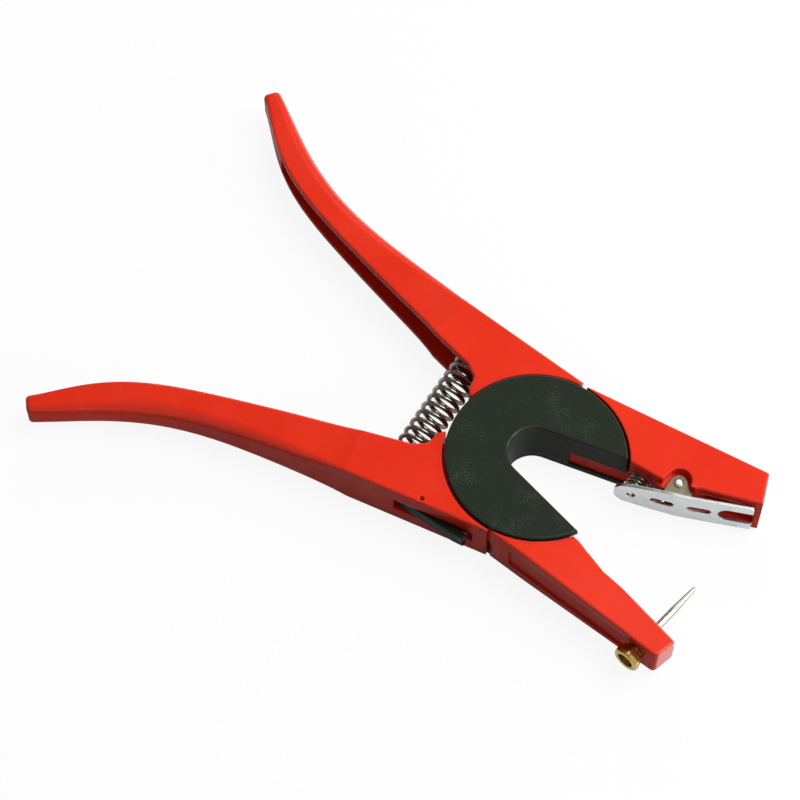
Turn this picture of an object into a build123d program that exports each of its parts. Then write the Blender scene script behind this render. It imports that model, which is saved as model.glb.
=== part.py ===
from build123d import *
import os
from math import atan2, cos, degrees, hypot, radians, sin, tan

# Ear tag applicator, all sizes in millimetres.
# Frame: main pivot axis on Z through the origin at mid thickness, jaws towards +X,
# clip jaw and pin-lever handle towards +Y, front cover towards +Z.

# thickness and bearing
BODY_THICK = 21.8
COVER_PROUD = 1.2
FLANGE_THICK = 3.2
FLANGE_GAP = 0.2
RING_GAP = 0.3
COVER_R = 34.3
COVER_EDGE = 0.8
COVER_ROOM = 0.7
RING_PROUD = 0.5
RING_ROOM = 0.5
RECESS_R = COVER_R + COVER_ROOM
RING_R = COVER_R + RING_PROUD
RELIEF_R = RING_R + RING_ROOM
CORE_R = 15.0
CORE_FIT = 0.08

# throat that the ear goes into
THROAT_X = -1.0
THROAT_Y = 0.95
THROAT_R = 10.3
THROAT_CLIP_ANGLE = 10.3
THROAT_PIN_ANGLE = 16.1
STOP_ANGLE = 0.5
CLIP_SETBACK = 0.8
PIN_SETBACK = 2.6

# castings
CAST_EDGE = 0.8
CHANNEL_WALL = 2.8
PIN_HANDLE_STOP = (-1.0, 36.6)
CLIP_HANDLE_STOP = (0.5, 35.9)
SPRING_X = -44.0
SPRING_SEAT_Y = 26.0
SPRING_BOSS = 7.2

# grip stations: centre x, centre y, heading, width, thickness, palm corner radius
GRIP = (
    (-59.2, 34.3, 12.3, 18.4, BODY_THICK, 0.8),
    (-76.95, 38.75, 12.9, 16.2, 18.8, 2.8),
    (-98.8, 44.05, 14.2, 13.8, 17.4, 4.2),
    (-121.9, 50.8, 20.0, 12.2, 16.0, 4.8),
    (-143.75, 60.35, 29.5, 12.0, 14.6, 4.6),
    (-161.6, 72.95, 38.0, 9.8, 13.2, 3.8),
    (-175.5, 84.0, 39.5, 6.8, 12.0, 2.2),
)
GRIP_RIM = 0.8
GRIP_TIP = 1.7
GRIP_SET = (-0.28, 0.45)
CHANNEL_END = (-152.0, 65.4, 33.5, 10.8, 14.4)

# pin jaw
PIN_JAW_TIP = (77.6, -44.5)
PIN_JAW_END = (80.9, -34.2)
PIN_JAW_TIP_R = 2.0
PIN_JAW_TAPER_X = 18.0
PIN_JAW_TIP_THICK = 14.8
PANEL_START = 10.4
PANEL_LENGTH = 55.0
PANEL_HEIGHT = 12.0
PANEL_DEPTH = 0.8

# tag pin and its nut, measured along the pin from the nut's seat
PIN_X = 68.75
PIN_SEAT = 0.5
PIN_LEAN = 10.7
PIN_ROOT_R = 1.8
PIN_SHOULDER = 11.2
PIN_R = 1.4
PIN_TIP_R = 0.75
PIN_STRAIGHT_END = 21.0
PIN_LENGTH = 33.4
PIN_HOLE_FIT = 0.05
PIN_FLANGE_R = 2.7
PIN_FLANGE_AT = 5.0
PIN_FLANGE_THICK = 1.5
NUT_R = 3.3
NUT_FIT = 0.05
NUT_WAIST_R = 3.5
NUT_WAIST = 1.6
NUT_FLARE_SMALL = 8.0
NUT_FLARE_WIDE = 9.6
NUT_HEIGHT = 6.2
NUT_CUP_R = 3.3
NUT_CUP_DEPTH = 3.0

# clip jaw
CLIP_JAW_TIP = (77.0, 40.7)
CLIP_JAW_END = (81.2, 28.2)
CLIP_JAW_LAND = 17.2
TROUGH_HALF = 6.4
TROUGH_END_WALL = 2.4
TROUGH_FLOOR = 4.0
EAR_POCKET_R = 4.6
EAR_POCKET_DEPTH = 4.4
PIVOT_PAD = (42.4, 48.5, 16.1)

# clip plate, its saddle and pivot
CLIP_PIVOT = (50.0, 20.4)
CLIP_TAIL = (29.6, 8.2)
CLIP_BEND = (55.5, 16.2)
CLIP_TIP = (79.4, 25.4)
CLIP_THICK = 1.2
CLIP_TAIL_HALF = 5.6
CLIP_MID_HALF = 8.2
CLIP_HOLE_R = 1.7
CLIP_SLOT_LENGTH = 9.2
CLIP_SLOT_WIDTH = 3.4
FORK_HALF = 4.1
FORK_DEPTH = 13.0
SADDLE_THICK = 1.0
SADDLE_WEB = (52.4, 55.6)
EAR_R = 3.3
EAR_BACK = 3.3
EAR_FRONT = 7.0
EAR_GAP = 0.3
RIVET_R = 1.2
RIVET_FIT = 0.06
RIVET_HEAD_R = 1.9
RIVET_HEAD = 1.0
CLIP_SPRING_X = 36.2
CLIP_SPRING_R = 3.7
CLIP_SPRING_WIRE = 0.8
CLIP_SPRING_TURNS = 4
CLIP_SPRING_POCKET = 2.2
CLIP_SPRING_ROOM = 0.4

# handle spring
SPRING_R = 5.75
SPRING_WIRE = 1.8
SPRING_TURNS = 13

# keeper in the clip-lever handle
KEEPER_PIVOT = (-26.9, -37.7)
KEEPER_PIN_R = 1.0
KEEPER_PIN_SUNK = 3.0
KEEPER_FIT = 0.06
KEEPER_HALF = 3.3
KEEPER_SIDE_GAP = 0.4
KEEPER_SLOT_START = -37.4
KEEPER_SLOT_END = -5.1
KEEPER_SLOT_FLOOR = -27.2
KEEPER_SLOT_R = 35.8
SPARE_X = -7.6
SPARE_Y = -37.9
SPARE_TILT = 13.0
SPARE_GAP = 0.15

# covers, pegs
PEG_R = 1.2
PEG_LENGTH = 2.0
PEG_ANGLES = (178, 212, 246)
PEG_FIT = 0.03
KEY_R = 2.2
KEY_DEPTH = 3.0
KEY_ANGLES = (115, 165, 215)

HALF = BODY_THICK / 2
COVER_Z = HALF + COVER_PROUD
FLANGE_Z = COVER_Z - FLANGE_THICK
RING_TOP = FLANGE_Z - FLANGE_GAP
RING_LOW = RING_GAP / 2


def slab(outline, low, high):
    """Straight-sided block of a closed outline between two heights."""
    return extrude(Pos(0, 0, low) * outline, high - low)


def polygon(*points):
    return make_face(Polyline(*points, close=True))


def drum(radius, low, high):
    return Pos(0, 0, (low + high) / 2) * Cylinder(radius, high - low)


def box(x0, x1, y0, y1, z0, z1):
    return Pos((x0 + x1) / 2, (y0 + y1) / 2, (z0 + z1) / 2) * Box(x1 - x0, y1 - y0, z1 - z0)


def wedge(start, stop):
    """Sector outline from one angle round to another, less than half a turn."""
    middle = (start + stop) / 2
    reach = 2 * RELIEF_R
    rays = [(reach * cos(radians(a)), reach * sin(radians(a))) for a in (start, middle, stop)]
    return polygon((0, 0), *rays)


def throat(low, high, clip_more=0.0, pin_more=0.0):
    """Keyhole-shaped opening: round inner end and two flared sides."""
    reach = 3 * RECESS_R
    sides = []
    for angle, more, side in ((THROAT_CLIP_ANGLE, clip_more, 1), (THROAT_PIN_ANGLE, pin_more, -1)):
        a = radians(angle)
        x = THROAT_X - (THROAT_R + more) * sin(a)
        y = THROAT_Y + side * (THROAT_R + more) * cos(a)
        sides.append(((x, y), (x + reach * cos(a), y + side * reach * sin(a))))
    flare = polygon(sides[0][0], sides[0][1], sides[1][1], sides[1][0])
    end = Pos(THROAT_X, THROAT_Y) * Circle(THROAT_R)
    return slab(flare + end, low, high)


def soften(block, radius, keep_sharp=None):
    """Round the front and rear outline edges, except those lying on one plane."""
    edges = block.edges().group_by(Axis.Z)
    chosen = [e for e in edges[0] + edges[-1]]
    if keep_sharp is not None:
        chosen = [e for e in chosen if abs(keep_sharp.to_local_coords(e.center()).Z) > 0.05]
    return fillet(chosen, radius)


def grip_plane(x, y, heading):
    a = radians(heading)
    return Plane(origin=(x, y, 0), x_dir=(sin(a), cos(a), 0), z_dir=(-cos(a), sin(a), 0))


def station_plane(x, y, heading, thick, lean):
    """Plane of one grip station, set over as the grip gets thinner."""
    drop = (BODY_THICK - thick) / 2
    return grip_plane(x + GRIP_SET[0] * drop, y + lean * GRIP_SET[1] * drop, heading)


def skin_section(width, thick, corner, rim):
    """Grip section: rounder on the palm side than along the open rims."""
    section = Rectangle(width, thick)
    section = fillet([v for v in section.vertices() if v.X > 0], corner)
    return fillet([v for v in section.vertices() if v.X < -width / 2 + 0.01], rim)


def grip(lean):
    """Curved hollow grip lofted through its stations, open towards the other handle."""
    skins = []
    hollows = []
    for x, y, heading, width, thick, corner in GRIP:
        rim = corner if x == GRIP[-1][0] else GRIP_RIM
        skins.append(station_plane(x, y, heading, thick, lean) * skin_section(width, thick, corner, rim))
    for x, y, heading, width, thick in [s[:5] for s in GRIP[:5]] + [CHANNEL_END]:
        hollows.append(station_plane(x, y, heading, thick, lean) * channel_section(width, thick))
    skin = loft(skins)
    x, y, heading, width, thick, corner = GRIP[-1]
    end = station_plane(x, y, heading, thick, lean)
    tip = [e for e in skin.edges() if abs(end.to_local_coords(e.center()).Z) < 0.01]
    return fillet(tip, GRIP_TIP) - loft(hollows)


def channel_section(width, thick):
    height = thick - 2 * CHANNEL_WALL
    span = width - CHANNEL_WALL + 4
    return Pos(width / 2 - CHANNEL_WALL - span / 2, 0) * Rectangle(span, height)


def handle(stop, lean):
    """Full-thickness handle on the +Y side: root beside the bearing, then the grip."""
    cut = grip_plane(*GRIP[0][:3])
    half_width = GRIP[0][3] / 2
    outer = cut.from_local_coords((half_width, 0, 0))
    inner = cut.from_local_coords((-half_width, 0, 0))
    boss_x = SPRING_X - SPRING_BOSS
    horn_x = SPRING_X + SPRING_BOSS
    edge = [
        stop,
        (outer.X, outer.Y),
        (inner.X, inner.Y),
        (horn_x - 5.4, 20.0),
        (horn_x - 0.6, 16.6),
        (horn_x + 0.2, 11.4),
        (-34.6, 9.0),
        (-27.0, 8.0),
        (stop[0], 25.0),
    ]
    outline = polygon(*edge)
    step = [v for v in outline.vertices() if abs(v.X - horn_x + 3) < 3.5 and 15 < v.Y < 22]
    outline = fillet(step, 2.5)
    root = soften(slab(outline, -HALF, HALF), CAST_EDGE, cut)
    slope = (outer.Y - stop[1]) / (outer.X - stop[0])
    wall_y = outer.Y - CHANNEL_WALL / cos(atan2(abs(slope), 1))
    height = HALF - CHANNEL_WALL
    back = cut.from_local_coords((-half_width - 6, 0, 0))
    floor = cut.from_local_coords((half_width - CHANNEL_WALL, 0, 0))
    hollow = polygon(
        (back.X, back.Y),
        (floor.X, floor.Y),
        (boss_x - 2, wall_y + slope * (boss_x - 2 - outer.X)),
        (boss_x, SPRING_SEAT_Y + 3),
        (boss_x, SPRING_SEAT_Y),
        (horn_x, SPRING_SEAT_Y),
        (horn_x, 4),
        (back.X, 4),
    )
    root = root - slab(hollow, -height, height)
    return root + grip(lean)


def ring(low, high, start, stop, clip_more, pin_more):
    """Half-thickness bearing ring without the sector from start to stop."""
    band = drum(RING_R, low, high) - drum(CORE_R + CORE_FIT, low - 1, high + 1)
    band = band - slab(wedge(start, stop), low - 1, high + 1)
    return band - throat(low - 1, high + 1, clip_more, pin_more)


def pin_axis_plane():
    """Plane on the nut's seat in the outer face of the pin jaw, its Z along the pin."""
    y = PIN_JAW_TIP[1] - (PIN_JAW_TIP[0] - PIN_X) * tan(pin_jaw_slope())
    lean = radians(PIN_LEAN)
    foot = (PIN_X + PIN_SEAT * sin(lean), y + PIN_SEAT * cos(lean), 0)
    return Plane(origin=foot, x_dir=(0, 0, 1), z_dir=(sin(lean), cos(lean), 0))


def pin_jaw_slope():
    return atan2(PIN_JAW_TIP[1] + RECESS_R + 0.3, PIN_JAW_TIP[0] - 1.9)


def pin_jaw():
    """Tapering jaw that carries the pin, with a bare recessed panel on its outer side."""
    start = (1.9, -RECESS_R - 0.3)
    outline = polygon(
        start,
        PIN_JAW_TIP,
        PIN_JAW_END,
        (52.4, -27.8),
        (44.6, -26.3),
        (31.0, -20.9),
        (16.0, -17.4),
        (1.9, -24.0),
    )
    tip = [v for v in outline.vertices() if v.X > 70]
    block = slab(fillet(tip, PIN_JAW_TIP_R), -HALF, HALF)
    over = 1.0
    drop = HALF - PIN_JAW_TIP_THICK / 2
    run = PIN_JAW_END[0] - PIN_JAW_TAPER_X
    side = Plane.XZ * polygon(
        (PIN_JAW_TAPER_X, HALF),
        (PIN_JAW_END[0] + run, HALF - 2 * drop),
        (PIN_JAW_END[0] + run, HALF + over),
        (PIN_JAW_TAPER_X, HALF + over),
    )
    shave = extrude(side, 120, both=True)
    block = block - shave - mirror(shave, about=Plane.XY)
    front = [e for e in block.edges() if e.center().Z > 5 and abs(e.tangent_at(0.5).Z) < 0.3]
    rear = [e for e in block.edges() if e.center().Z < -5 and abs(e.tangent_at(0.5).Z) < 0.3]
    cross = [e for e in front + rear if abs(e.center().X - PIN_JAW_TAPER_X) < 0.5]
    block = fillet([e for e in front + rear if e not in cross], CAST_EDGE)
    slope = pin_jaw_slope()
    middle = PANEL_START + PANEL_LENGTH / 2
    face = Plane(origin=(middle, start[1] + (middle - start[0]) * tan(slope), 0),
                 x_dir=(cos(slope), sin(slope), 0), z_dir=(sin(slope), -cos(slope), 0))
    panel = extrude(face * RectangleRounded(PANEL_LENGTH, PANEL_HEIGHT, 1.5), PANEL_DEPTH, both=True)
    axis = pin_axis_plane()
    seat = PIN_FLANGE_AT + PIN_FLANGE_THICK
    bore = axis * Pos(0, 0, seat / 2 - 1) * Cylinder(NUT_R + NUT_FIT, seat + 2)
    through = axis * Pos(0, 0, 10) * Cylinder(PIN_ROOT_R + PIN_HOLE_FIT, 20)
    spot = axis * Pos(0, 0, -2) * Cylinder(NUT_WAIST_R + 0.5, 4)
    return block - panel - bore - through - spot


def pin_lever():
    lever = handle(PIN_HANDLE_STOP, 1) + pin_jaw()
    lever = lever - drum(RECESS_R, RING_TOP, HALF + 1) - drum(RELIEF_R, -HALF - 1, RING_LOW)
    lever = lever + ring(RING_LOW, RING_TOP, -20, ring_start_angle(), 0, PIN_SETBACK)
    lever = lever - drum(CORE_R + CORE_FIT, -HALF - 1, HALF + 1)
    return lever - throat(RING_LOW - 1, RING_TOP + 1, 0, PIN_SETBACK)


def ring_start_angle():
    """Where the pin lever's ring starts, in line with its handle's stop face."""
    return degrees(atan2(PIN_HANDLE_STOP[1], PIN_HANDLE_STOP[0]))


def ring_end_angle():
    """Where the clip lever's ring ends, in line with its handle's stop face."""
    return degrees(atan2(-CLIP_HANDLE_STOP[1], CLIP_HANDLE_STOP[0]))


def clip_jaw():
    """Jaw that carries the clip: ear pockets on both faces and a trough under the fork."""
    outline = polygon(
        (1.2, 36.0),
        CLIP_JAW_TIP,
        CLIP_JAW_END,
        (77.6, 27.0),
        (58.2, 21.4),
        (50.8, CLIP_JAW_LAND),
        (30.7, CLIP_JAW_LAND),
        (18.0, 17.6),
        (1.2, 24.0),
    )
    tip = [v for v in outline.vertices() if v.X > 70 and v.Y > 35]
    block = soften(slab(fillet(tip, 1.0), -HALF, HALF), CAST_EDGE)
    px, py = CLIP_PIVOT
    pocket = Pos(px, py) * Circle(EAR_POCKET_R)
    pocket = pocket + polygon(
        (px - EAR_POCKET_R - 1.4, py - 6),
        (px - EAR_POCKET_R, py),
        (px + EAR_POCKET_R, py),
        (px + 8.2, py + 0.2),
        (px + 8.2, py - 6),
    )
    web = HALF - EAR_POCKET_DEPTH
    for low, high in ((web, HALF + 1), (-HALF - 1, -web)):
        block = block - slab(pocket, low, high)
    block = block + box(PIVOT_PAD[0], PIVOT_PAD[1], PIVOT_PAD[2], CLIP_JAW_LAND + 1, -web, web)
    trough = polygon(
        (59.5, 10),
        (59.5, 38.8 - TROUGH_FLOOR),
        (CLIP_JAW_TIP[0] - TROUGH_END_WALL + 0.4, CLIP_JAW_TIP[1] - TROUGH_FLOOR),
        (CLIP_JAW_END[0] - TROUGH_END_WALL, CLIP_JAW_END[1]),
        (CLIP_JAW_END[0] - TROUGH_END_WALL, 10),
    )
    block = block - slab(trough, -TROUGH_HALF, TROUGH_HALF)
    block = block - Pos(px, py, 0) * Cylinder(RIVET_R, 2 * BODY_THICK)
    return block - clip_spring_room()


def clip_spring_room():
    """Round space kept free about the clip spring, from the floor of its pocket down to the clip plate."""
    top = CLIP_JAW_LAND + CLIP_SPRING_POCKET
    low = CLIP_TAIL[1]
    radius = CLIP_SPRING_R + CLIP_SPRING_WIRE / 2 + CLIP_SPRING_ROOM
    return Pos(CLIP_SPRING_X, (low + top) / 2, 0) * Rot(90, 0, 0) * Cylinder(radius, top - low)


def keeper_slot():
    half = KEEPER_HALF + KEEPER_SIDE_GAP
    room = box(KEEPER_SLOT_START, KEEPER_SLOT_END, -HALF * 6, KEEPER_SLOT_FLOOR, -half, half)
    room = room - drum(KEEPER_SLOT_R, -HALF, HALF)
    bore = Pos(*KEEPER_PIVOT, 0) * Cylinder(KEEPER_PIN_R, 3 * BODY_THICK)
    return room + bore


def clip_lever():
    lever = mirror(handle(CLIP_HANDLE_STOP, -1), about=Plane.XZ) + clip_jaw()
    lever = lever - drum(RECESS_R, -HALF - 1, -RING_TOP) - drum(RELIEF_R, -RING_LOW, HALF + 1)
    lever = lever + ring(-RING_TOP, -RING_LOW, ring_end_angle(), 20, CLIP_SETBACK, 0)
    lever = lever - drum(CORE_R + CORE_FIT, -HALF - 1, HALF + 1)
    lever = lever - throat(-RING_TOP - 1, -RING_LOW + 1, CLIP_SETBACK, 0)
    for x, y in key_points():
        lever = lever - drum(KEY_R + PEG_FIT, -RING_TOP - 1, -RING_TOP + KEY_DEPTH + 0.3).move(Pos(x, y))
    return lever - keeper_slot()


def key_points():
    middle = (CORE_R + RING_R) / 2
    return [(middle * cos(radians(a)), middle * sin(radians(a))) for a in KEY_ANGLES]


def peg_points():
    middle = CORE_R - 1.8
    return [(middle * cos(radians(a)), middle * sin(radians(a))) for a in PEG_ANGLES]


def cover_face(low, high):
    disc = drum(COVER_R, low, high) - throat(low - 1, high + 1)
    outside = disc.edges().group_by(Axis.Z)
    return fillet(outside[-1] if high > 0 else outside[0], COVER_EDGE)


def throat_wall(low, high, start, stop):
    """Solid sector beside the throat that closes the half without a ring."""
    wall = drum(COVER_R, low, high) & slab(wedge(start, stop), low, high)
    return wall - throat(low - 1, high + 1)


def front_cover():
    core = drum(CORE_R, -FLANGE_Z, FLANGE_Z) - throat(-COVER_Z, COVER_Z)
    cover = cover_face(FLANGE_Z, COVER_Z) + core
    wall = throat_wall(RING_LOW - 0.1, FLANGE_Z, 5, ring_start_angle() - STOP_ANGLE)
    cover = cover + (wall - clip_spring_room())
    for x, y in peg_points():
        cover = cover + drum(PEG_R, -FLANGE_Z - PEG_LENGTH, -FLANGE_Z + 1).move(Pos(x, y))
    return cover


def rear_cover():
    cover = cover_face(-COVER_Z, -FLANGE_Z)
    wall = throat_wall(-FLANGE_Z, -RING_LOW, ring_end_angle() + STOP_ANGLE, -5)
    cover = cover + (wall - drum(CORE_R + CORE_FIT, -COVER_Z, COVER_Z))
    for x, y in key_points():
        cover = cover + drum(KEY_R, -FLANGE_Z - 0.5, -RING_TOP + KEY_DEPTH).move(Pos(x, y))
    for x, y in peg_points():
        cover = cover - drum(PEG_R + PEG_FIT, -FLANGE_Z - PEG_LENGTH - 0.2, -FLANGE_Z + 1).move(Pos(x, y))
    return cover


def revolved(*profile):
    """Round piece from (radius, height) points, turned about Z."""
    return revolve(Plane.XZ * polygon(*profile), Axis.Z)


def pin_blank(plane):
    """Flanged pin, straight at the root and tapering to a rounded tip."""
    blank = revolved(
        (0, PIN_FLANGE_AT),
        (PIN_FLANGE_R, PIN_FLANGE_AT),
        (PIN_FLANGE_R, PIN_FLANGE_AT + PIN_FLANGE_THICK),
        (PIN_ROOT_R, PIN_FLANGE_AT + PIN_FLANGE_THICK),
        (PIN_ROOT_R, PIN_SHOULDER),
        (PIN_R, PIN_SHOULDER + PIN_ROOT_R - PIN_R),
        (PIN_R, PIN_STRAIGHT_END),
        (PIN_TIP_R, PIN_LENGTH),
        (0, PIN_LENGTH),
    )
    tip = [e for e in blank.edges() if abs(e.center().Z - PIN_LENGTH) < 0.01]
    return plane * fillet(tip, PIN_TIP_R * 0.7)


def tag_pin():
    return pin_blank(pin_axis_plane())


def hexagon(across, height):
    return Pos(0, 0, height) * RegularPolygon(across / 2, 6, major_radius=False)


def pin_nut():
    """Brass nut: threaded shank, round waist and a flared hexagon with a hollow end."""
    shank = revolved(
        (0, PIN_FLANGE_AT - 0.05),
        (NUT_R, PIN_FLANGE_AT - 0.05),
        (NUT_R, 0),
        (NUT_WAIST_R, 0),
        (NUT_WAIST_R, -NUT_WAIST),
        (0, -NUT_WAIST),
    )
    middle = NUT_WAIST + (NUT_HEIGHT - NUT_WAIST) * 0.6
    flare = loft([hexagon(NUT_FLARE_SMALL, -NUT_WAIST), hexagon(NUT_FLARE_WIDE, -middle)])
    head = extrude(hexagon(NUT_FLARE_WIDE, -middle), middle - NUT_HEIGHT)
    cup = drum(NUT_CUP_R, -NUT_HEIGHT - 1, -NUT_HEIGHT + NUT_CUP_DEPTH)
    dome = revolved((0, -NUT_WAIST), (NUT_FLARE_WIDE * 0.54, -NUT_WAIST),
                    (NUT_FLARE_WIDE * 0.575, -middle), (NUT_FLARE_WIDE * 0.575, -NUT_HEIGHT + 0.6),
                    (NUT_FLARE_WIDE * 0.5, -NUT_HEIGHT), (0, -NUT_HEIGHT))
    return pin_axis_plane() * (shank + ((flare + head) & dome) - cup)


def clip_strip(thick, lift, start, stop):
    """Side view of the bent plate as a strip, lifted off its outer face."""
    first = atan2(CLIP_BEND[1] - CLIP_TAIL[1], CLIP_BEND[0] - CLIP_TAIL[0])
    second = atan2(CLIP_TIP[1] - CLIP_BEND[1], CLIP_TIP[0] - CLIP_BEND[0])
    bend = (first + second) / 2

    def raised(point, angle, height):
        return (point[0] - height * sin(angle), point[1] + height * cos(angle))

    corners = [(start, first), (CLIP_BEND, bend), (stop, second)]
    low = [raised(p, a, lift) for p, a in corners]
    high = [raised(p, a, lift + thick) for p, a in reversed(corners)]
    return polygon(*low, *high)


def clip_plan_plane():
    """Plane on the clip plate, local X along the plate from its tail, local Y along Z."""
    run = (CLIP_TIP[0] - CLIP_TAIL[0], CLIP_TIP[1] - CLIP_TAIL[1])
    length = hypot(*run)
    along = (run[0] / length, run[1] / length, 0)
    return Plane(origin=(*CLIP_TAIL, 0), x_dir=along, z_dir=(along[1], -along[0], 0)), length


def clip_plate():
    plane, length = clip_plan_plane()
    outline = polygon(
        (0, -CLIP_TAIL_HALF),
        (14, -CLIP_MID_HALF + 0.6),
        (22, -CLIP_MID_HALF),
        (length, -CLIP_MID_HALF),
        (length, CLIP_MID_HALF),
        (22, CLIP_MID_HALF),
        (14, CLIP_MID_HALF - 0.6),
        (0, CLIP_TAIL_HALF),
    )
    tail = [v for v in outline.vertices() if v.X < 1]
    outline = fillet(tail, CLIP_TAIL_HALF - 0.1)
    outline = fillet([v for v in outline.vertices() if v.X > length - 1], 1.0)
    outline = outline - Pos(6.6, 0) * Circle(CLIP_HOLE_R)
    for x in (18.4, 32.6):
        outline = outline - Pos(x, 0) * SlotOverall(CLIP_SLOT_LENGTH, CLIP_SLOT_WIDTH)
    notch = Pos(length - FORK_DEPTH + FORK_HALF, 0) * Circle(FORK_HALF)
    notch = notch + Pos(length - (FORK_DEPTH - FORK_HALF) / 2 + 5, 0) * Rectangle(
        FORK_DEPTH - FORK_HALF + 10, 2 * FORK_HALF)
    cutter = extrude(plane * (outline - notch), 10, both=True)
    strip = slab(clip_strip(CLIP_THICK, 0, CLIP_TAIL, CLIP_TIP), -12, 12)
    return strip & cutter


def clip_saddle():
    """Bracket on the back of the plate: two ears on the pivot pin, joined by a narrow web."""
    px, py = CLIP_PIVOT
    inside = HALF - EAR_POCKET_DEPTH + EAR_GAP
    outside = inside + SADDLE_THICK
    strip = slab(clip_strip(SADDLE_THICK, CLIP_THICK, CLIP_TAIL, CLIP_TIP), -outside, outside)
    base = strip & box(*SADDLE_WEB, 0, py + 10, -outside, outside)
    ear = Pos(px, py) * Circle(EAR_R) + polygon(
        (px - EAR_BACK, py),
        (px - EAR_BACK, py - 9),
        (px + EAR_FRONT, py - 9),
        (px + EAR_FRONT, py - 2.2),
        (px + EAR_R * 0.93, py + EAR_R * 0.37),
    )
    under = polygon((0, -30), CLIP_TAIL, CLIP_BEND, CLIP_TIP, (100, -30))
    lift = CLIP_THICK / cos(atan2(CLIP_TIP[1] - CLIP_BEND[1], CLIP_TIP[0] - CLIP_BEND[0])) + 0.02
    saddle = base
    for low, high in ((inside, outside), (-outside, -inside)):
        saddle = saddle + (slab(ear, low, high) - slab(Pos(0, lift) * under, low, high))
    return saddle - Pos(px, py, 0) * Cylinder(RIVET_R + RIVET_FIT, 4 * BODY_THICK)


def clip_pivot_pin():
    reach = HALF - EAR_POCKET_DEPTH + EAR_GAP + SADDLE_THICK + 0.1
    head = [
        (0, reach),
        (RIVET_HEAD_R, reach),
        (RIVET_HEAD_R, reach + RIVET_HEAD * 0.4),
        (RIVET_HEAD_R * 0.6, reach + RIVET_HEAD),
        (0, reach + RIVET_HEAD),
    ]
    top = revolved(*head)
    pin = drum(RIVET_R, -reach, reach) + top + mirror(top, about=Plane.XY)
    return Pos(*CLIP_PIVOT, 0) * pin


def coil(radius, wire, length, turns):
    """Round-wire helix standing on the XY plane, its wire inside the given length."""
    path = Helix(pitch=(length - wire) / turns, height=length - wire, radius=radius)
    start = Plane(path @ 0, z_dir=path % 0)
    return Pos(0, 0, wire / 2) * sweep(start * Circle(wire / 2), path)


def handle_spring():
    length = 2 * SPRING_SEAT_Y - 0.4
    spring = coil(SPRING_R, SPRING_WIRE, length, SPRING_TURNS)
    return Pos(SPRING_X, length / 2, 0) * Rot(90, 0, 0) * spring


def clip_spring():
    slope = (CLIP_BEND[1] - CLIP_TAIL[1]) / (CLIP_BEND[0] - CLIP_TAIL[0])
    reach = CLIP_SPRING_R + CLIP_SPRING_WIRE / 2
    plate_y = CLIP_TAIL[1] + slope * (CLIP_SPRING_X + reach - CLIP_TAIL[0]) + CLIP_THICK * hypot(1, slope)
    top = CLIP_JAW_LAND + CLIP_SPRING_POCKET - 0.2
    length = top - plate_y - 0.2
    spring = coil(CLIP_SPRING_R, CLIP_SPRING_WIRE, length, CLIP_SPRING_TURNS)
    return Pos(CLIP_SPRING_X, top, 0) * Rot(90, 0, 0) * spring


def spare_plane():
    a = radians(SPARE_TILT)
    back = PIN_FLANGE_AT
    return Plane(origin=(SPARE_X + back * cos(a), SPARE_Y - back * sin(a), 0),
                 x_dir=(0, 0, 1), z_dir=(-cos(a), sin(a), 0))


def spare_pin():
    return pin_blank(spare_plane())


def spare_pin_keeper():
    """Lever with a groove that the spare pin lies in; its thumb end stands proud."""
    px, py = KEEPER_PIVOT
    outline = polygon(
        (SPARE_X + 0.9, SPARE_Y - 2.6),
        (SPARE_X - 4, SPARE_Y - 2.9),
        (px - 1, py - 2.1),
        (px - 9.0, py - 1.3),
        (px - 9.0, py + 4.4),
        (px, py + 2.4),
        (SPARE_X - 2, SPARE_Y + 0.3),
        (SPARE_X + 0.9, SPARE_Y - 0.4),
    )
    outline = fillet(outline.vertices().group_by(Axis.X)[-1], 0.8)
    lever = soften(slab(outline, -KEEPER_HALF, KEEPER_HALF), 0.4)
    plane = spare_plane()
    groove = plane * Pos(0, 0, 25) * Cylinder(PIN_ROOT_R + SPARE_GAP, 50)
    flange = PIN_FLANGE_AT + PIN_FLANGE_THICK / 2
    seat = plane * Pos(0, 0, flange) * Cylinder(PIN_FLANGE_R + SPARE_GAP, PIN_FLANGE_THICK + 2 * SPARE_GAP)
    slot = plane * Pos(0, 0, 25) * Box(2 * PIN_ROOT_R + 2 * SPARE_GAP, 12, 50)
    inner = slab(polygon((-60, -20), (-60, -28.3), (10, -44.4), (10, -20)), -HALF, HALF)
    lever = lever - groove - seat - (slot & inner)
    return lever - Pos(px, py, 0) * Cylinder(KEEPER_PIN_R + KEEPER_FIT, BODY_THICK)


def keeper_pivot_pin():
    return Pos(*KEEPER_PIVOT, 0) * Cylinder(KEEPER_PIN_R, 2 * (HALF - KEEPER_PIN_SUNK))


PIECES = {
    "clip_lever": clip_lever,
    "pin_lever": pin_lever,
    "front_cover": front_cover,
    "rear_cover": rear_cover,
    "handle_spring": handle_spring,
    "tag_pin": tag_pin,
    "pin_nut": pin_nut,
    "clip_plate": clip_plate,
    "clip_saddle": clip_saddle,
    "clip_pivot_pin": clip_pivot_pin,
    "clip_spring": clip_spring,
    "spare_pin_keeper": spare_pin_keeper,
    "spare_pin": spare_pin,
    "keeper_pivot_pin": keeper_pivot_pin,
}

os.makedirs("parts", exist_ok=True)
for name, make in PIECES.items():
    solid = make()
    solids = solid.solids()
    print(name, len(solids), round(sum(s.volume for s in solids), 1))
    export_step(solid, f"parts/{name}.step")
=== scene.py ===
"""Looks of a hand-squeezed ear tag applicator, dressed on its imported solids."""

import logging
import math
from dataclasses import dataclass, field
from enum import Enum

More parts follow.
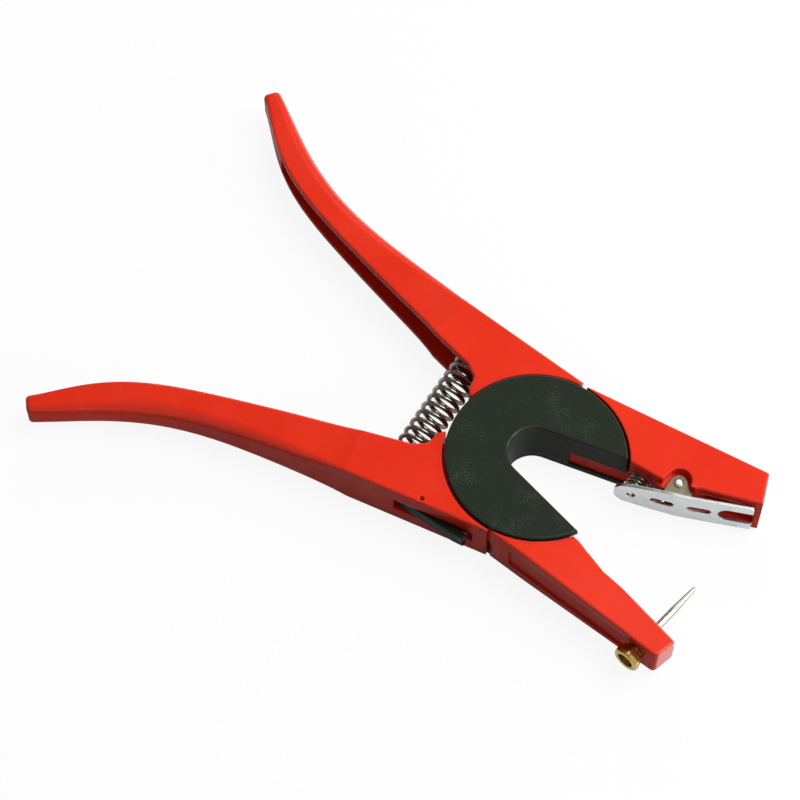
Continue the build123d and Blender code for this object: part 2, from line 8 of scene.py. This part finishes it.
import bpy
import numpy as np
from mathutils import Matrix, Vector


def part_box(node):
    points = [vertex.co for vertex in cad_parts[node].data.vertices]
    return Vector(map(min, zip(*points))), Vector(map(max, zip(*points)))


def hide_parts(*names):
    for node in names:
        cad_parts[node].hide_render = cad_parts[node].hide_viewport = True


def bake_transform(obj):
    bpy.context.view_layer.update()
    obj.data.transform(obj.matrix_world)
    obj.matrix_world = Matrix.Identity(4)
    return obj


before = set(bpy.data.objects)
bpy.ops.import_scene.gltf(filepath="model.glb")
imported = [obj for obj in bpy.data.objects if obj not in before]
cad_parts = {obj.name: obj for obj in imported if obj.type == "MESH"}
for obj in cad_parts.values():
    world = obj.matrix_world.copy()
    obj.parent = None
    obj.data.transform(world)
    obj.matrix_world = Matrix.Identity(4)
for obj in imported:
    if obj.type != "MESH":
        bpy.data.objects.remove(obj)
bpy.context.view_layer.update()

LOG = logging.getLogger("applicator")
MM = 0.001

Array = np.ndarray
Band = tuple[float, float]
Colour = tuple[float, float, float, float]
Point = tuple[float, float, float]
Node = bpy.types.Node
Socket = bpy.types.NodeSocket

FLOAT = "NodeSocketFloat"
VECTOR = "NodeSocketVector"
WHITE: Colour = (1.0, 1.0, 1.0, 1.0)

# Places of the Mix node's colour sockets.
MIX_SHARE, MIX_FIRST, MIX_SECOND, MIX_RESULT = 0, 6, 7, 2

# Bands of a value that a mask or a tone is spread over.
NOISE_BAND: Band = (0.3, 0.7)
SPECKLE_BAND: Band = (0.35, 0.65)
# The next two bands place the pale flecks painted on the mouldings as highlights of grain catching the
# light.
GRAIN_GLINT_BAND: Band = (0.48, 0.7)
GRAIN_GLINT_PATCH_BAND: Band = (0.54, 0.72)
DULL_BAND: Band = (0.55, 0.8)
MARK_PATCH_BAND: Band = (0.58, 0.72)
SCRATCH_BAND: Band = (0.66, 0.72)
FLANK_BAND: Band = (0.35, 0.65)
FACE_BAND: Band = (0.985, 0.9)
END_BAND: Band = (0.75, 0.92)

# Shares and scales inside the shared effects.
RIPPLE_SHARE, PEBBLE_SHARE = 0.8, 0.2
CELL_SHARE, FINE_SHARE = 0.6, 0.4
FINE_RATIO = 2.1
TONE_SCALE = 28.0
CLOUD_SCALE = 130.0
SMEAR_SCALE = 75.0
SCRATCH_TURN: Point = (0.0, 0.4, 0.7)
SCRATCH_STRETCH: Point = (160.0, 2400.0, 900.0)
BEVEL_SAMPLES = 16


class Body(str, Enum):
    """Rigid bodies that the springs stand between."""

    CLIP_SIDE = "clip_side"
    PIN_SIDE = "pin_side"
    TAG_CLIP = "tag_clip"


def linear(red: int, green: int, blue: int) -> Colour:
    """Turn an 8-bit display colour into a linear colour.

    Args:
        red: red channel, 0 to 255.
        green: green channel, 0 to 255.
        blue: blue channel, 0 to 255.

    Returns:
        Linear red, green, blue and an alpha of 1.
    """
    knee, slope, offset, power = 0.04045, 12.92, 0.055, 2.4
    channels = np.array([red, green, blue]) / 255.0
    low = channels / slope
    high = ((channels + offset) / (1.0 + offset)) ** power
    values = np.where(channels <= knee, low, high)
    return (*values.tolist(), 1.0)


class Tree:
    """Short-hand for adding and wiring shader nodes."""

    def __init__(self, tree: bpy.types.NodeTree) -> None:
        """Keep the node tree that nodes are added to."""
        self.tree = tree

    def feed(self, socket: Socket, value: object) -> None:
        """Wire an output into an input, or set the input to a value.

        Args:
            socket: the input.
            value: an output socket, or a value of the input's own type.
        """
        if isinstance(value, bpy.types.NodeSocket):
            self.tree.links.new(value, socket)
        else:
            socket.default_value = value

    def put(self, node: Node, name: str, value: object) -> None:
        """Feed the input of a node that has the given name."""
        self.feed(node.inputs[name], value)

    def add(self, kind: str, **inputs: object) -> Node:
        """Add a node and set or wire its inputs.

        Args:
            kind: node type name.
            **inputs: input names, with underscores for spaces, and a value or an output socket each.

        Returns:
            The new node.
        """
        node = self.tree.nodes.new(kind)
        for name, value in inputs.items():
            self.put(node, name.replace("_", " "), value)
        return node

    def math(self, operation: str, first: object, second: object = 0.0) -> Socket:
        """Add a Math node.

        Args:
            operation: the node's operation.
            first: first value or socket.
            second: second value or socket.

        Returns:
            The node's output socket.
        """
        node = self.tree.nodes.new("ShaderNodeMath")
        node.operation = operation
        for socket, value in zip(node.inputs, (first, second)):
            self.feed(socket, value)
        return node.outputs[0]

    def times(self, first: object, second: object) -> Socket:
        """Multiply two values or sockets."""
        return self.math("MULTIPLY", first, second)

    def spread(self, value: Socket, band: Band, to_low: float = 0.0, to_high: float = 1.0) -> Socket:
        """Map a value from a band to another range, clamped.

        Args:
            value: socket to map.
            band: where the source range starts and ends.
            to_low: result at the band's start.
            to_high: result at the band's end.

        Returns:
            The mapped socket.
        """
        node = self.add("ShaderNodeMapRange", Value=value, From_Min=band[0], From_Max=band[1],
                        To_Min=to_low, To_Max=to_high)
        return node.outputs["Result"]

    def blend(self, share: object, first: object, second: object) -> Socket:
        """Mix two colours.

        Args:
            share: mixing factor or socket.
            first: colour at 0.
            second: colour at 1.

        Returns:
            The mixed colour socket.
        """
        node = self.tree.nodes.new("ShaderNodeMix")
        node.data_type = "RGBA"
        for place, value in zip((MIX_SHARE, MIX_FIRST, MIX_SECOND), (share, first, second)):
            self.feed(node.inputs[place], value)
        return node.outputs[MIX_RESULT]

    def noise(self, where: Socket, scale: object, detail: float, rough: float = 0.5) -> Socket:
        """Add a noise texture.

        Args:
            where: coordinate socket.
            scale: noise scale or socket.
            detail: octaves.
            rough: octave weight.

        Returns:
            The noise value socket.
        """
        node = self.add("ShaderNodeTexNoise", Vector=where, Scale=scale, Detail=detail, Roughness=rough)
        return node.outputs["Fac"]

    def coordinate(self, kind: str = "Object") -> Socket:
        """Add a Texture Coordinate node and take one of its outputs."""
        return self.add("ShaderNodeTexCoord").outputs[kind]

    def along(self, vector: Socket, axis: str) -> Socket:
        """Take the X, Y or Z of a vector."""
        return self.add("ShaderNodeSeparateXYZ", Vector=vector).outputs[axis]


@dataclass
class EffectGroups:
    """Shader node groups shared by the finishes, each built once."""

    made: dict[str, bpy.types.NodeTree] = field(default_factory=dict)

    def start(self, name: str, inputs: dict[str, tuple[str, object]], outputs: dict[str, str]
              ) -> tuple[Tree, Node, Node]:
        """Open a new node group.

        Args:
            name: group name.
            inputs: socket name to its type and default.
            outputs: socket name to its type.

        Returns:
            The tree helper, the group's input node and its output node.
        """
        group = bpy.data.node_groups.new(name, "ShaderNodeTree")
        for label, (kind, default) in inputs.items():
            group.interface.new_socket(label, in_out="INPUT", socket_type=kind).default_value = default
        for label, kind in outputs.items():
            group.interface.new_socket(label, in_out="OUTPUT", socket_type=kind)
        self.made[name] = group
        tree = Tree(group)
        return tree, tree.add("NodeGroupInput"), tree.add("NodeGroupOutput")

    def build(self) -> None:
        """Build every shared effect."""
        self.build_paint_skin()
        self.build_moulded_grain()
        self.build_drawn_lines()
        self.build_handling()
        self.build_soft_edge()

    def build_paint_skin(self) -> None:
        """Sprayed paint: long soft ripples with a finer pebble, and a slow drift of tone."""
        tree, given, result = self.start(
            "paint_skin", {"Ripple Scale": (FLOAT, 420.0), "Pebble Scale": (FLOAT, 1500.0)},
            {"Height": FLOAT, "Tone": FLOAT})
        where = tree.coordinate()
        ripple = tree.noise(where, given.outputs["Ripple Scale"], 2.0)
        pebble = tree.noise(where, given.outputs["Pebble Scale"], 1.0)
        height = tree.math("ADD", tree.times(ripple, RIPPLE_SHARE), tree.times(pebble, PEBBLE_SHARE))
        tree.put(result, "Height", height)
        tree.put(result, "Tone", tree.noise(where, TONE_SCALE, 3.0, 0.6))

    def build_moulded_grain(self) -> None:
        """Spark-eroded mould grain: cells of two sizes that make a fine even leather."""
        tree, given, result = self.start(
            "moulded_grain", {"Scale": (FLOAT, 1400.0)}, {"Height": FLOAT, "Speckle": FLOAT})
        where = tree.coordinate()
        cells = tree.add("ShaderNodeTexVoronoi", Vector=where, Scale=given.outputs["Scale"])
        fine = tree.noise(where, tree.times(given.outputs["Scale"], FINE_RATIO), 2.0)
        coarse_part = tree.times(cells.outputs["Distance"], CELL_SHARE)
        tree.put(result, "Height", tree.math("ADD", coarse_part, tree.times(fine, FINE_SHARE)))
        tree.put(result, "Speckle", fine)

    def build_drawn_lines(self) -> None:
        """Rolling and drawing marks: noise stretched a long way along one axis, and dull clouds."""
        tree, given, result = self.start(
            "drawn_lines",
            {"Stretch": (VECTOR, (40.0, 1600.0, 1600.0)), "Turn": (VECTOR, (0.0, 0.0, 0.0))},
            {"Line": FLOAT, "Cloud": FLOAT})
        where = tree.coordinate()
        turned = tree.add("ShaderNodeMapping", Vector=where, Rotation=given.outputs["Turn"])
        drawn = tree.add("ShaderNodeMapping", Vector=turned.outputs["Vector"],
                         Scale=given.outputs["Stretch"])
        tree.put(result, "Line", tree.noise(drawn.outputs["Vector"], 1.0, 4.0, 0.6))
        tree.put(result, "Cloud", tree.noise(where, CLOUD_SCALE, 4.0, 0.6))

    def build_handling(self) -> None:
        """Marks of use: sparse thin scratches inside patches, and soft finger smears."""
        tree, given, result = self.start(
            "handling", {"Patch Scale": (FLOAT, 60.0), "Amount": (FLOAT, 0.5)},
            {"Scratch": FLOAT, "Smear": FLOAT})
        where = tree.coordinate()
        patch = tree.spread(tree.noise(where, given.outputs["Patch Scale"], 4.0, 0.65), MARK_PATCH_BAND)
        drawn = tree.add("ShaderNodeMapping", Vector=where, Rotation=SCRATCH_TURN, Scale=SCRATCH_STRETCH)
        line = tree.spread(tree.noise(drawn.outputs["Vector"], 1.0, 2.0), SCRATCH_BAND)
        tree.put(result, "Scratch", tree.times(tree.times(line, patch), given.outputs["Amount"]))
        tree.put(result, "Smear", tree.noise(where, SMEAR_SCALE, 3.0, 0.55))

    def build_soft_edge(self) -> None:
        """Rounded edges and ends.

        The normal is eased over each sharp edge. One mask shows where it leans between the flat faces
        and the flanks, and another shows the end faces that look along +X.
        """
        tree, given, result = self.start(
            "soft_edge", {"Radius": (FLOAT, 0.0006)}, {"Edge": FLOAT, "End": FLOAT, "Normal": VECTOR})
        bevel = tree.add("ShaderNodeBevel", Radius=given.outputs["Radius"])
        bevel.samples = BEVEL_SAMPLES
        eased = bevel.outputs["Normal"]
        upright = tree.math("ABSOLUTE", tree.along(eased, "Z"))
        off_flank, off_face = tree.spread(upright, FLANK_BAND), tree.spread(upright, FACE_BAND)
        tree.put(result, "Edge", tree.times(off_flank, off_face))
        tree.put(result, "End", tree.spread(tree.along(tree.coordinate("Normal"), "X"), END_BAND))
        tree.put(result, "Normal", eased)

    def place(self, tree: Tree, name: str, **inputs: object) -> Node:
        """Place one shared effect in a material.

        Args:
            tree: the material's tree.
            name: effect name.
            **inputs: values for the group's inputs.

        Returns:
            The group node.
        """
        node = tree.tree.nodes.new("ShaderNodeGroup")
        node.node_tree = self.made[name]
        for label, value in inputs.items():
            tree.put(node, label.replace("_", " "), value)
        return node


@dataclass(frozen=True)
class Finish:
    """A surface finish that can make its own material."""

    name: str
    colour: Colour
    shade: Colour
    rough: float

    def open(self) -> tuple[bpy.types.Material, Tree, Node]:
        """Start a material with a Principled shader.

        Returns:
            The material, its tree helper and the shader node.
        """
        material = bpy.data.materials.new(self.name)
        material.use_nodes = True
        material.diffuse_color = self.colour
        return material, Tree(material.node_tree), material.node_tree.nodes["Principled BSDF"]

    def relief(self, tree: Tree, shader: Node, height: Socket, under: Socket,
               strength: float, depth: float) -> None:
        """Feed a height into the shader's normal.

        Args:
            tree: the material's tree.
            shader: the Principled shader.
            height: height socket.
            under: normal that the relief lies on.
            strength: bump strength.
            depth: bump distance in metres.
        """
        bump = tree.add("ShaderNodeBump", Height=height, Strength=strength, Distance=depth, Normal=under)
        tree.put(shader, "Normal", bump.outputs["Normal"])


@dataclass(frozen=True)
class GlossPaint(Finish):
    """Stove paint on a die casting, glossy along its edges and ends, with a slight ripple."""

    coat: float = 0.03
    glint: float = 0.8
    coat_rough: float = 0.16
    shine: float = 0.05
    smoother: float = 0.05
    rougher: float = 0.09
    ripple_scale: float = 330.0
    pebble_scale: float = 1300.0
    ripple: float = 0.06
    ripple_depth: float = 0.0002
    edge_radius: float = 0.0013
    patch_scale: float = 55.0
    wear: float = 0.3
    worn: Colour = linear(190, 40, 24)
    worn_share: float = 0.3
    worn_rough: float = 0.2

    def material(self, effects: EffectGroups) -> bpy.types.Material:
        """Build the painted-casting material.

        Args:
            effects: the shared effects.

        Returns:
            The material.
        """
        material, tree, shader = self.open()
        skin = effects.place(tree, "paint_skin", Ripple_Scale=self.ripple_scale,
                             Pebble_Scale=self.pebble_scale)
        marks = effects.place(tree, "handling", Patch_Scale=self.patch_scale, Amount=self.wear)
        edge = effects.place(tree, "soft_edge", Radius=self.edge_radius)
        scratch = marks.outputs["Scratch"]
        painted = tree.blend(tree.spread(skin.outputs["Tone"], NOISE_BAND), self.shade, self.colour)
        tree.put(shader, "Base Color", tree.blend(tree.times(scratch, self.worn_share), painted, self.worn))
        rough = tree.spread(marks.outputs["Smear"], NOISE_BAND, self.rough - self.smoother,
                            self.rough + self.rougher)
        tree.put(shader, "Roughness", tree.math("ADD", rough, tree.times(scratch, self.worn_rough)))
        rubbed = tree.math("MAXIMUM", edge.outputs["Edge"], edge.outputs["End"])
        tree.put(shader, "Coat Weight", tree.spread(rubbed, (0.0, 1.0), self.coat, self.glint))
        tree.put(shader, "Coat Roughness", self.coat_rough)
        tree.put(shader, "Specular IOR Level", self.shine)
        self.relief(tree, shader, skin.outputs["Height"], edge.outputs["Normal"], self.ripple,
                    self.ripple_depth)
        return material


@dataclass(frozen=True)
class MouldedPlastic(Finish):
    """Filled black plastic with a fine mould grain, and patches of pale flecks painted into the colour as
    highlights where the grain catches the light.
    """

    grain: float = 1500.0
    # Colour of the pale flecks: a painted highlight of grain catching the light, not a colour of the
    # plastic.
    grain_glint: Colour = linear(70, 83, 63)
    glint: float = 0.7
    coat_rough: float = 0.26
    shine: float = 0.07
    smoother: float = 0.03
    rougher: float = 0.04
    relief_share: float = 0.22
    relief_depth: float = 0.00012
    edge_radius: float = 0.0007
    patch_scale: float = 70.0
    wear: float = 0.5
    worn: Colour = linear(128, 134, 122)
    worn_share: float = 0.5

    def material(self, effects: EffectGroups) -> bpy.types.Material:
        """Build the black moulding material.

        Args:
            effects: the shared effects.

        Returns:
            The material.
        """
        material, tree, shader = self.open()
        grain = effects.place(tree, "moulded_grain", Scale=self.grain)
        marks = effects.place(tree, "handling", Patch_Scale=self.patch_scale, Amount=self.wear)
        edge = effects.place(tree, "soft_edge", Radius=self.edge_radius)
        speckle, smear = grain.outputs["Speckle"], marks.outputs["Smear"]
        # Pale flecks in patches, painted into the base colour as highlights of grain catching the light.
        grain_glints = tree.times(tree.spread(speckle, GRAIN_GLINT_BAND), tree.spread(smear, GRAIN_GLINT_PATCH_BAND))
        plain = tree.blend(tree.spread(speckle, SPECKLE_BAND), self.shade, self.colour)
        base = tree.blend(grain_glints, plain, self.grain_glint)
        worn = tree.times(marks.outputs["Scratch"], self.worn_share)
        tree.put(shader, "Base Color", tree.blend(worn, base, self.worn))
        rough = tree.spread(smear, NOISE_BAND, self.rough - self.smoother, self.rough + self.rougher)
        tree.put(shader, "Roughness", rough)
        tree.put(shader, "Coat Weight", tree.times(edge.outputs["Edge"], self.glint))
        tree.put(shader, "Coat Roughness", self.coat_rough)
        tree.put(shader, "Specular IOR Level", self.shine)
        self.relief(tree, shader, grain.outputs["Height"], edge.outputs["Normal"], self.relief_share,
                    self.relief_depth)
        return material


@dataclass(frozen=True)
class DrawnMetal(Finish):
    """Bare or plated metal with drawing lines along one direction."""

    stretch: Point = (40.0, 1600.0, 1600.0)
    turn: Point = (0.0, 0.0, 0.0)
    ridge: float = 0.12
    ridge_depth: float = 0.00008
    stain: Colour = (0.1, 0.09, 0.07, 1.0)
    stain_share: float = 0.35
    smoother: float = 0.06
    rougher: float = 0.1
    edge_radius: float = 0.0003
    patch_scale: float = 140.0
    wear: float = 0.6
    worn_rough: float = 0.25

    def material(self, effects: EffectGroups) -> bpy.types.Material:
        """Build the metal material.

        Args:
            effects: the shared effects.

        Returns:
            The material.
        """
        material, tree, shader = self.open()
        lines = effects.place(tree, "drawn_lines", Stretch=self.stretch, Turn=self.turn)
        marks = effects.place(tree, "handling", Patch_Scale=self.patch_scale, Amount=self.wear)
        edge = effects.place(tree, "soft_edge", Radius=self.edge_radius)
        line, cloud = lines.outputs["Line"], lines.outputs["Cloud"]
        metal = tree.blend(tree.spread(line, NOISE_BAND), self.shade, self.colour)
        dull = tree.times(tree.spread(cloud, DULL_BAND), self.stain_share)
        tree.put(shader, "Base Color", tree.blend(dull, metal, self.stain))
        rough = tree.spread(cloud, NOISE_BAND, self.rough - self.smoother, self.rough + self.rougher)
        worn = tree.times(marks.outputs["Scratch"], self.worn_rough)
        tree.put(shader, "Roughness", tree.math("ADD", rough, worn))
        tree.put(shader, "Metallic", 1.0)
        self.relief(tree, shader, line, edge.outputs["Normal"], self.ridge, self.ridge_depth)
        return material


# Turns that bring the pin's axis onto Y and the length of the clip plate onto X.
PIN_TURN: Point = (0.0, 0.0, 0.187)
PLATE_TURN: Point = (0.0, 0.0, -0.333)


class Finishes(Enum):
    """Every finish on the tool."""

    CASTING = GlossPaint("red_gloss_paint", linear(244, 58, 34), linear(236, 50, 28), 0.3)
    COVER = MouldedPlastic("black_mould_grain", linear(43, 52, 40), linear(36, 44, 34), 0.42, grain=820.0)
    # The keeper's fleck colour is also a painted highlight of grain catching the light.
    KEEPER = MouldedPlastic("black_keeper_grain", linear(30, 33, 29), linear(22, 25, 21), 0.4,
                            grain=1900.0, grain_glint=linear(44, 47, 42))
    SPRING = DrawnMetal("bright_spring_wire", linear(176, 172, 160), linear(112, 108, 98), 0.2,
                        stretch=(900.0, 900.0, 900.0), ridge=0.06)
    PIN = DrawnMetal("polished_pin_steel", linear(176, 173, 155), linear(172, 169, 151), 0.26,
                     stretch=(700.0, 20.0, 700.0), turn=PIN_TURN, ridge=0.0, stain=linear(172, 168, 150))
    PLATE = DrawnMetal("zinc_plated_sheet", linear(214, 222, 221), linear(200, 208, 207), 0.3,
                       stretch=(50.0, 1500.0, 1500.0), turn=PLATE_TURN, ridge=0.05,
                       stain=linear(150, 152, 148))
    SADDLE = DrawnMetal("yellow_passivated_sheet", linear(146, 138, 112), linear(118, 110, 86), 0.38,
                        stretch=(1200.0, 80.0, 1200.0), ridge=0.1, stain=linear(96, 88, 68))
    RIVET = DrawnMetal("turned_rivet_steel", linear(236, 234, 226), linear(206, 204, 196), 0.45, ridge=0.05)
    BRASS = DrawnMetal("turned_brass", linear(202, 174, 98), linear(190, 162, 88), 0.24,
                       stretch=(30.0, 700.0, 30.0), turn=PIN_TURN, ridge=0.0, stain=linear(150, 118, 56))


class MeshMaker:
    """Turns arrays into mesh objects."""

    def grid(self, name: str, points: Array, around: bool) -> bpy.types.Object:
        """Make an object from a grid of points whose second direction may close on itself.

        Args:
            name: object name.
            points: array of shape (rows, columns, 3), in metres.
            around: True where the columns close into a tube, which then gets end caps.

        Returns:
            The new object, smooth shaded, at the origin.
        """
        rows, columns = points.shape[:2]
        index = np.arange(rows * columns).reshape(rows, columns)
        ahead = np.roll(index, -1, axis=1)
        last = columns if around else columns - 1
        corners = [index[:-1, :last], ahead[:-1, :last], ahead[1:, :last], index[1:, :last]]
        faces = np.stack(corners, axis=-1).reshape(-1, 4).tolist()
        if around:
            faces += [index[0, ::-1].tolist(), index[-1].tolist()]
        mesh = bpy.data.meshes.new(name)
        mesh.from_pydata(points.reshape(-1, 3).tolist(), [], faces)
        mesh.validate()
        mesh.shade_smooth()
        piece = bpy.data.objects.new(name, mesh)
        bpy.context.collection.objects.link(piece)
        return piece


@dataclass
class CoilSpring:
    """Round-wire compression spring with closed ends, standing on a straight axis."""

    name: str
    node: str
    foot: Point
    head: Point
    radius: float
    wire: float
    turns: float
    closed: float = 1.0
    end_rate: float = 0.22
    reach: float = 0.12
    steps: int = 36
    sides: int = 14

    def surface(self) -> Array:
        """Work out the wire surface.

        The centre line turns evenly about the axis, and its rise eases from a small share of the full
        pitch at each closed end to the full pitch between them. A circle of the wire's radius is
        carried along it, square to the line's own direction.

        Returns:
            Points of shape (rows, sides, 3).
        """
        foot, head = np.array(self.foot), np.array(self.head)
        length = float(np.linalg.norm(head - foot))
        axis = (head - foot) / length
        first = np.cross(axis, [0.0, 0.0, 1.0])
        first /= np.linalg.norm(first)
        second = np.cross(axis, first)
        turn = np.linspace(0.0, self.turns, int(self.turns * self.steps) + 1)
        ease = np.clip(np.minimum(turn, self.turns - turn) / self.closed, 0.0, 1.0)
        rate = self.end_rate + (1.0 - self.end_rate) * ease * ease * (3.0 - 2.0 * ease)
        rise = np.concatenate([[0.0], np.cumsum((rate[1:] + rate[:-1]) / 2.0)])
        rise = self.wire / 2 + rise / rise[-1] * (length - self.wire)
        angle = 2.0 * np.pi * turn[:, None]
        out = np.cos(angle) * first + np.sin(angle) * second
        line = foot + self.radius * out + rise[:, None] * axis
        along = np.gradient(line, axis=0)
        along /= np.linalg.norm(along, axis=1, keepdims=True)
        across = np.cross(along, out)
        ring = np.linspace(0.0, 2.0 * np.pi, self.sides, endpoint=False)[None, :, None]
        circle = np.cos(ring) * out[:, None] + np.sin(ring) * across[:, None]
        return line[:, None] + self.wire / 2 * circle

    def build(self, makers: MeshMaker, parent: Body, child: Body, material: bpy.types.Material
              ) -> bpy.types.Object:
        """Make the spring and take the solid's place.

        Args:
            makers: mesh maker.
            parent: body under the spring's foot; not used.
            child: body at the spring's head; not used.
            material: wire material.

        Returns:
            The spring object.
        """
        piece = makers.grid(self.name, self.surface(), True)
        piece.data.materials.append(material)
        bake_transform(piece)
        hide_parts(self.node)
        LOG.info("spring %s with %d faces", self.name, len(piece.data.polygons))
        return piece


@dataclass
class DressedNodes:
    """A sub-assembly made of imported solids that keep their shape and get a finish."""

    title: str
    finishes: dict[str, Finishes]

    def dress(self, materials: dict[Finishes, bpy.types.Material]) -> None:
        """Give each solid its finish.

        Args:
            materials: finish to its material.
        """
        for node, finish in self.finishes.items():
            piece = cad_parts[node]
            piece.data.materials.clear()
            piece.data.materials.append(materials[finish])
            LOG.info("%s: %s in %s", self.title, node, finish.value.name)


@dataclass(frozen=True)
class Lamp:
    """A square soft lamp: where it hangs, its side in metres and its power in watts."""

    name: str
    place: Point
    size: float
    power: float

    def hang(self, aim: Vector) -> None:
        """Hang the lamp so that it faces a point.

        Args:
            aim: the point.
        """
        light = bpy.data.lights.new(self.name, "AREA")
        light.size = self.size
        light.energy = self.power
        piece = bpy.data.objects.new(self.name, light)
        bpy.context.collection.objects.link(piece)
        piece.location = self.place
        piece.rotation_mode = "QUATERNION"
        piece.rotation_quaternion = (aim - Vector(self.place)).to_track_quat("-Z", "Y")


@dataclass
class Studio:
    """Floor, lights, world and camera."""

    look_at: Point = (-0.05576, -0.0071, 0.0109)
    azimuth: float = 32.4
    elevation: float = 62.05
    distance: float = 1.02
    lens: float = 121.5
    sensor: float = 36.0
    far_clip: float = 50.0
    floor_size: float = 8.0
    floor_flat: float = 2.4
    floor_rise: float = 0.35
    floor_gap: float = 0.0002
    floor_rows: int = 65
    floor_rough: float = 0.9
    floor_bounce: Colour = (0.2, 0.2, 0.2, 1.0)
    seen_glow: float = 0.9
    mirror_glow: float = 0.3
    jaw_glow: float = 0.7
    jaw_band: Band = (0.074, 0.09)
    room_light: float = 0.14
    lamps: tuple[Lamp, ...] = (
        Lamp("overhead_box", (0.45, 0.36, 1.3), 0.9, 14.8),
        Lamp("rear_strip", (-0.6, 0.9, 0.7), 0.5, 3.0),
        Lamp("jaw_strip", (1.37, 0.2, 0.47), 0.4, 6.5),
        Lamp("clip_strip", (1.15, 0.95, 0.26), 0.4, 4.5),
        Lamp("front_fill", (-0.3, -1.1, 0.7), 0.7, 0.3))

    def build(self) -> None:
        """Build the whole studio."""
        self.floor()
        self.world()
        for lamp in self.lamps:
            lamp.hang(Vector(self.look_at))
        self.camera()

    def floor(self) -> None:
        """Lay a white sweep under the rear cover.

        Its height is nothing inside the flat radius, and beyond it grows with the square of the
        distance past that radius.
        """
        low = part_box("rear_cover")[0][2] - self.floor_gap
        half = self.floor_size / 2
        across = np.linspace(-half, half, self.floor_rows)
        x, y = np.meshgrid(across, across)
        past = np.maximum(np.hypot(x, y) - self.floor_flat, 0.0)
        points = np.stack([x, y, low + self.floor_rise * past ** 2], axis=-1)
        sheet = MeshMaker().grid("studio_floor", points, False)
        sheet.data.materials.append(self.floor_material())

    def floor_material(self) -> bpy.types.Material:
        """Make the floor white to the camera, with a soft shadow, and dimmer in reflections.

        Past the jaws it is brighter in reflections, which lights up the jaws' ends.

        Returns:
            The material.
        """
        material = bpy.data.materials.new("white_floor")
        material.use_nodes = True
        tree = Tree(material.node_tree)
        shader = material.node_tree.nodes["Principled BSDF"]
        tree.put(shader, "Roughness", self.floor_rough)
        path = tree.add("ShaderNodeLightPath").outputs
        mirrored = tree.math("MAXIMUM", path["Is Glossy Ray"], path["Is Transmission Ray"])
        seen = tree.math("MAXIMUM", path["Is Camera Ray"], mirrored)
        tree.put(shader, "Base Color", tree.blend(seen, self.floor_bounce, WHITE))
        past_jaws = tree.spread(tree.along(tree.coordinate(), "X"), self.jaw_band, self.mirror_glow,
                                self.jaw_glow)
        share = tree.math("MAXIMUM", tree.times(path["Is Camera Ray"], self.seen_glow),
                          tree.times(mirrored, past_jaws))
        glow = tree.add("ShaderNodeEmission", Color=WHITE, Strength=1.0)
        mix = tree.add("ShaderNodeMixShader", Fac=share)
        tree.feed(mix.inputs[1], shader.outputs[0])
        tree.feed(mix.inputs[2], glow.outputs[0])
        tree.feed(material.node_tree.nodes["Material Output"].inputs[0], mix.outputs[0])
        return material

    def world(self) -> None:
        """Fill weakly and evenly from all round."""
        world = bpy.data.worlds.new("pale_room")
        bpy.context.scene.world = world
        world.use_nodes = True
        back = world.node_tree.nodes["Background"]
        back.inputs["Color"].default_value = WHITE
        back.inputs["Strength"].default_value = self.room_light

    def camera(self) -> None:
        """Set the camera at the viewing angle measured from the round cover."""
        turn, rise = math.radians(self.azimuth), math.radians(self.elevation)
        level = Vector((math.sin(turn), -math.cos(turn), 0.0)) * math.cos(rise)
        back = level + Vector((0.0, 0.0, math.sin(rise)))
        lens = bpy.data.cameras.new("photo_camera")
        lens.lens = self.lens
        lens.sensor_width = self.sensor
        lens.clip_end = self.far_clip
        piece = bpy.data.objects.new("photo_camera", lens)
        bpy.context.collection.objects.link(piece)
        piece.location = Vector(self.look_at) + back * self.distance
        piece.rotation_mode = "QUATERNION"
        piece.rotation_quaternion = (-back).to_track_quat("-Z", "Y")
        bpy.context.scene.camera = piece


ASSEMBLIES = (
    DressedNodes("levers", {"clip_lever": Finishes.CASTING, "pin_lever": Finishes.CASTING}),
    DressedNodes("bearing", {"front_cover": Finishes.COVER, "rear_cover": Finishes.COVER}),
    DressedNodes("pin set", {"tag_pin": Finishes.PIN, "pin_nut": Finishes.BRASS}),
    DressedNodes("clip set", {"clip_plate": Finishes.PLATE, "clip_saddle": Finishes.SADDLE,
                              "clip_pivot_pin": Finishes.RIVET}),
    DressedNodes("keeper set", {"spare_pin_keeper": Finishes.KEEPER, "spare_pin": Finishes.PIN,
                                "keeper_pivot_pin": Finishes.RIVET}))

HANDLE_SPRING = CoilSpring(
    "handle_coil", "handle_spring", foot=(-44.0 * MM, -25.8 * MM, 0.0), head=(-44.0 * MM, 25.8 * MM, 0.0),
    radius=5.75 * MM, wire=1.8 * MM, turns=13.0)
CLIP_SPRING = CoilSpring(
    "clip_coil", "clip_spring", foot=(36.2 * MM, 19.2 * MM, 0.0), head=(35.3 * MM, 12.3 * MM, 0.0),
    radius=3.7 * MM, wire=0.8 * MM, turns=4.5, closed=0.8)


def main() -> None:
    """Build finishes, dress the solids, add the springs and set the studio."""
    logging.basicConfig(level=logging.INFO, format="%(name)s %(message)s")
    bpy.context.scene.view_settings.view_transform = "Standard"
    effects = EffectGroups()
    effects.build()
    materials = {finish: finish.value.material(effects) for finish in Finishes}
    for assembly in ASSEMBLIES:
        assembly.dress(materials)
    makers = MeshMaker()
    HANDLE_SPRING.build(makers, Body.CLIP_SIDE, Body.PIN_SIDE, materials[Finishes.SPRING])
    CLIP_SPRING.build(makers, Body.CLIP_SIDE, Body.TAG_CLIP, materials[Finishes.SPRING])
    Studio().build()
    bpy.context.view_layer.update()


if __name__ == "__main__":
    main()
